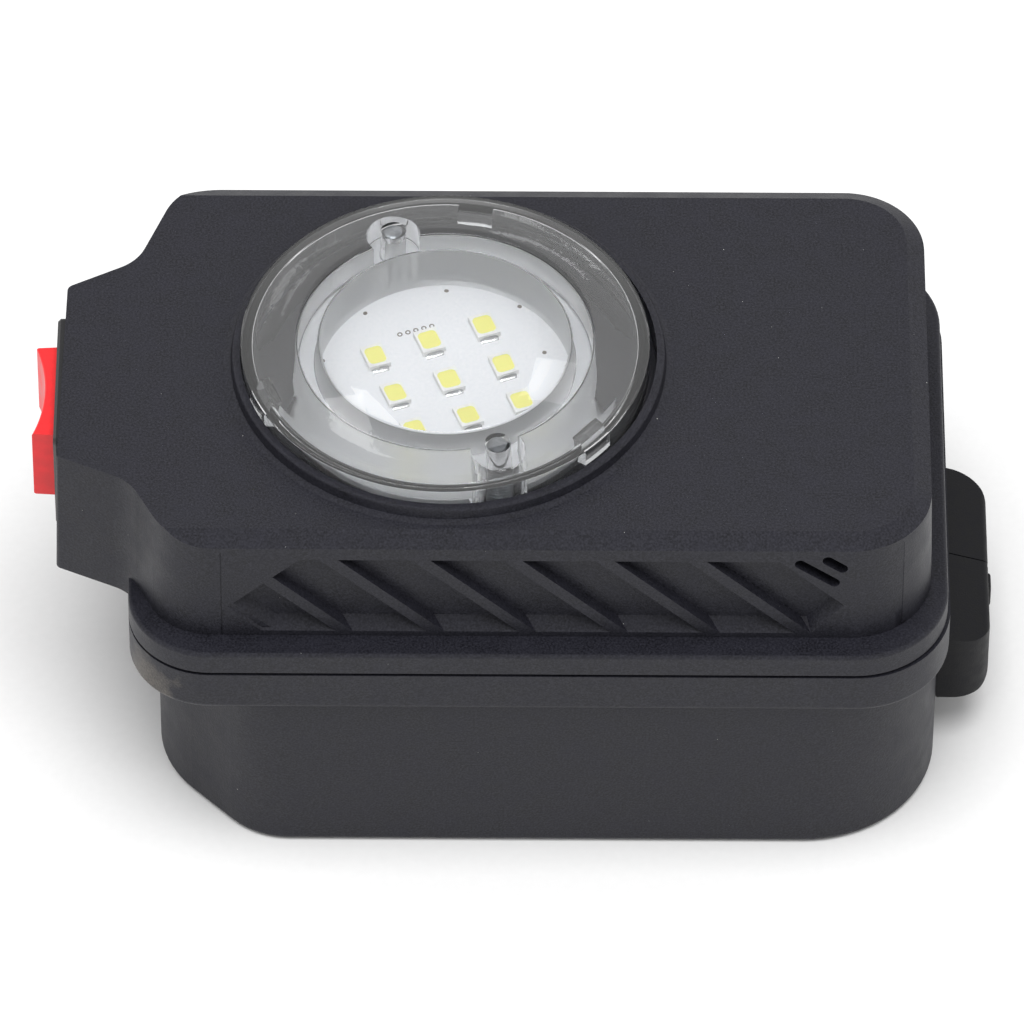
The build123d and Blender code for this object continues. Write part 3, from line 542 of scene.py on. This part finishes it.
screw_low, screw_high = (corner.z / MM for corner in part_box("lens_screws"))
window_low, window_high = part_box("lens")
WINDOW_X = (window_low.x + window_high.x) / 2 / MM
boss_places = [(WINDOW_X + BOSS_RING * cos(radians(a)), BOSS_RING * sin(radians(a))) for a in BOSS_ANGLES]


def brick(middle, sizes, angle=0.0):
    """A box about a middle, turned about the vertical by an angle in degrees."""
    signs = [(-1, -1), (1, -1), (1, 1), (-1, 1)]
    corners = [(x * sizes[0] / 2, y * sizes[1] / 2, z * sizes[2] / 2) for z in (-1, 1) for x, y in signs]
    sides = [(0, 3, 2, 1), (4, 5, 6, 7), (0, 1, 5, 4), (1, 2, 6, 5), (2, 3, 7, 6), (3, 0, 4, 7)]
    return turn(corners, radians(angle)) + middle, sides


def combine(piece, other, operation):
    """Joins a closed solid to the piece ("UNION") or cuts it away ("DIFFERENCE"), and drops it."""
    modifier = piece.modifiers.new(operation, "BOOLEAN")
    modifier.object = other
    modifier.operation = operation
    modifier.solver = "EXACT"
    shaped = piece.evaluated_get(bpy.context.evaluated_depsgraph_get())
    made = bpy.data.meshes.new_from_object(shaped)
    piece.modifiers.clear()
    piece.data = made
    bpy.data.objects.remove(other)


def thread(points, centre, low, high):
    """Moves turned points out into a helix: the radius grows from root to crest and back with the
    fraction of a pitch that the height leads the turn by, and fades out at both ends."""
    offset = points[:, :2] - centre
    angle = np.arctan2(offset[:, 1], offset[:, 0])
    lead = (points[:, 2] / THREAD_PITCH - angle / (2 * pi)) % 1.0
    ridge = np.clip(1.6 - np.abs(lead - 0.5) * 4.2, 0, 1)
    ends = np.clip(np.minimum(points[:, 2] - low, high - points[:, 2]) / THREAD_PITCH, 0, 1)
    radius = np.hypot(offset[:, 0], offset[:, 1])
    on_root = (np.abs(radius - THREAD_ROOT) < 1e-6) & (points[:, 2] > low) & (points[:, 2] < high)
    grown = np.where(on_root, 1 + (THREAD_CREST - THREAD_ROOT) * ridge * ends / THREAD_ROOT, 1.0)
    return np.concatenate([centre + offset * grown[:, None], points[:, 2:]], axis=1)


under_head = screw_low + HEAD_HEIGHT
rows = int((screw_high - under_head) / THREAD_PITCH * THREAD_STEPS)
heights = np.linspace(screw_high - 0.15, under_head + 0.05, rows)
screw_profile = np.vstack(
    [
        [(0, screw_high - 0.12), (0.4, screw_high), (THREAD_ROOT - 0.1, screw_high)],
        np.stack([np.full(rows, THREAD_ROOT), heights], axis=1),
        [(THREAD_ROOT + 0.1, under_head), (HEAD_RADIUS - 0.1, under_head), (HEAD_RADIUS, under_head - 0.15)],
        [(HEAD_RADIUS, screw_low + 0.6), (HEAD_RADIUS - 0.25, screw_low + 0.15)],
        [(HEAD_RADIUS - 0.8, screw_low), (0, screw_low)],
    ]
)
shapes = []
for centre in boss_places:
    points, faces = turned(screw_profile, centre, 40)
    shapes.append((thread(points, np.array(centre), under_head, screw_high), faces))
screws = mesh_piece("window_screws", shapes, zinc, sharp=40.0)
for x, y in boss_places:
    middle = (x, y, screw_low + RECESS_DEPTH / 2 - 0.5)
    for angle in (0.0, 90.0):
        slot_cut = brick(middle, (2 * RECESS_HALF, RECESS_WIDTH, RECESS_DEPTH + 1.0), angle)
        combine(screws, mesh_piece("recess", [slot_cut], zinc), "DIFFERENCE")
screws.data.set_sharp_from_angle(angle=radians(40.0))
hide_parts("lens_screws")
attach(screws, "housing")


# ---------------------------------------------------------------- window
# One clear polycarbonate moulding: a slightly domed plate with a bevelled edge, a skirt that sits on the
# gasket, a round rib that stands on the light board, two screw bosses and three locating tabs. The rib,
# and each boss where it meets the rib's ring, are left with the tool's matt finish; the plate is polished.
WINDOW_TOP = window_high.z / MM
WINDOW_FOOT = window_low.z / MM
WINDOW_RADIUS = (window_high.x - window_low.x) / 2 / MM
DOME_RADIUS = 250.0
DOME_EDGE = 22.75
SHOULDER = 54.9
PLATE_BOTTOM = 54.0
SKIRT_BOTTOM, SKIRT_INNER = 50.6, 23.1
RIB_OUTER, RIB_INNER = 17.7, 15.4
TAB_ANGLES = (81.0, 201.5, 320.0)
TAB_RADIUS, TAB_DROP = 22.6, 1.15
TAB_SIZES = (1.8, 4.2, 2.9)
RIB_HAZE, MARGIN_HAZE = 0.25, 0.03
RIPPLE = 0.5


def arc(centre, radius, start, end, count=6):
    """Points on an arc in a profile: centre plus radius times (cos a, sin a), a in even steps of degrees."""
    angles = np.radians(np.linspace(start, end, count))
    return np.stack([centre[0] + radius * np.cos(angles), centre[1] + radius * np.sin(angles)], axis=1)


polycarbonate, tree, shader, place = surface("clear_polycarbonate", IOR=1.586, Base_Color=linear("fbfcfd"))
flat = add(tree, "VectorMath", {0: place, 1: (1.0, 1.0, 0.0)}, operation="MULTIPLY").outputs["Vector"]
centre = (WINDOW_X * MM, 0.0, 0.0)
radius = add(tree, "VectorMath", {0: flat, 1: centre}, operation="DISTANCE").outputs["Value"]
middle_radius = (RIB_OUTER + RIB_INNER) / 2 * MM
from_rib = math(tree, "ABSOLUTE", math(tree, "SUBTRACT", radius, middle_radius), 0.0)
in_rib = math(tree, "LESS_THAN", from_rib, (RIB_OUTER - RIB_INNER + 0.7) / 2 * MM)
height = add(tree, "SeparateXYZ", {0: place}).outputs["Z"]
below = math(tree, "LESS_THAN", height, (PLATE_BOTTOM - 0.1) * MM)
matt = math(tree, "MULTIPLY", in_rib, below)
outside = math(tree, "GREATER_THAN", radius, (RIB_OUTER + 0.4) * MM)
rib_haze = math(tree, "MULTIPLY", matt, RIB_HAZE)
milky = math(tree, "ADD", rib_haze, math(tree, "MULTIPLY", outside, MARGIN_HAZE))
tree.links.new(math(tree, "SUBTRACT", 1.0, milky), shader.inputs["Transmission Weight"])
gloss = remap(tree, noise(tree, place, 0.5, 4.0), 0.55, 0.8, 0.0, 0.06)
tree.links.new(math(tree, "MAXIMUM", gloss, math(tree, "MULTIPLY", matt, 0.42)), shader.inputs["Roughness"])
ripple = math(tree, "MULTIPLY", math(tree, "MULTIPLY", outside, RIPPLE), noise(tree, place, 0.7, 1.0))
relief(tree, shader, math(tree, "ADD", noise(tree, place, 6.0, 1.0), ripple), 0.05, 0.2)

across_dome = np.linspace(0, DOME_EDGE, 12)
dome = np.stack([across_dome, WINDOW_TOP - across_dome**2 / (2 * DOME_RADIUS)], axis=1)
edge_height = dome[-1, 1]
profile = np.vstack(
    [
        dome,
        [(DOME_EDGE + 0.12, edge_height - 0.06), (WINDOW_RADIUS - 0.7, SHOULDER + 0.08)],
        [(WINDOW_RADIUS - 0.55, SHOULDER), (WINDOW_RADIUS - 0.12, SHOULDER)],
        [(WINDOW_RADIUS, SHOULDER - 0.12), (WINDOW_RADIUS, SKIRT_BOTTOM), (SKIRT_INNER, SKIRT_BOTTOM)],
        arc((SKIRT_INNER - 0.3, PLATE_BOTTOM - 0.3), 0.3, 0, 90),
        arc((RIB_OUTER + 0.4, PLATE_BOTTOM - 0.4), 0.4, 90, 180),
        [(RIB_OUTER - 0.12, WINDOW_FOOT + 0.12), (RIB_OUTER - 0.24, WINDOW_FOOT)],
        [(RIB_INNER + 0.24, WINDOW_FOOT), (RIB_INNER + 0.12, WINDOW_FOOT + 0.12)],
        arc((RIB_INNER - 0.4, PLATE_BOTTOM - 0.4), 0.4, 0, 90),
        [(7.5, PLATE_BOTTOM), (0.0, PLATE_BOTTOM)],
    ]
)
window = mesh_piece("window", [turned(profile, (WINDOW_X, 0.0), 256)], polycarbonate)
ROOT = PLATE_BOTTOM + 0.5
boss_profile = [(0, ROOT), (BOSS_RADIUS, ROOT), (BOSS_RADIUS - 0.1, WINDOW_FOOT), (0, WINDOW_FOOT)]
for place_of_boss in boss_places:
    boss = mesh_piece("boss", [turned(boss_profile, place_of_boss, 72)], polycarbonate)
    combine(window, boss, "UNION")
for angle in TAB_ANGLES:
    out_x, out_y = TAB_RADIUS * cos(radians(angle)), TAB_RADIUS * sin(radians(angle))
    middle = (WINDOW_X + out_x, out_y, PLATE_BOTTOM - TAB_DROP)
    combine(window, mesh_piece("tab", [brick(middle, TAB_SIZES, angle)], polycarbonate), "UNION")
hole_top, hole_foot = WINDOW_TOP - 0.75, WINDOW_FOOT - 1
hole_profile = [(0, hole_top), (BOSS_HOLE, hole_top), (BOSS_HOLE, hole_foot), (0, hole_foot)]
for place_of_boss in boss_places:
    hole = mesh_piece("hole", [turned(hole_profile, place_of_boss, 48)], polycarbonate)
    combine(window, hole, "DIFFERENCE")
window.data.set_sharp_from_angle(angle=radians(32.0))
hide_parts("lens")
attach(window, "housing")
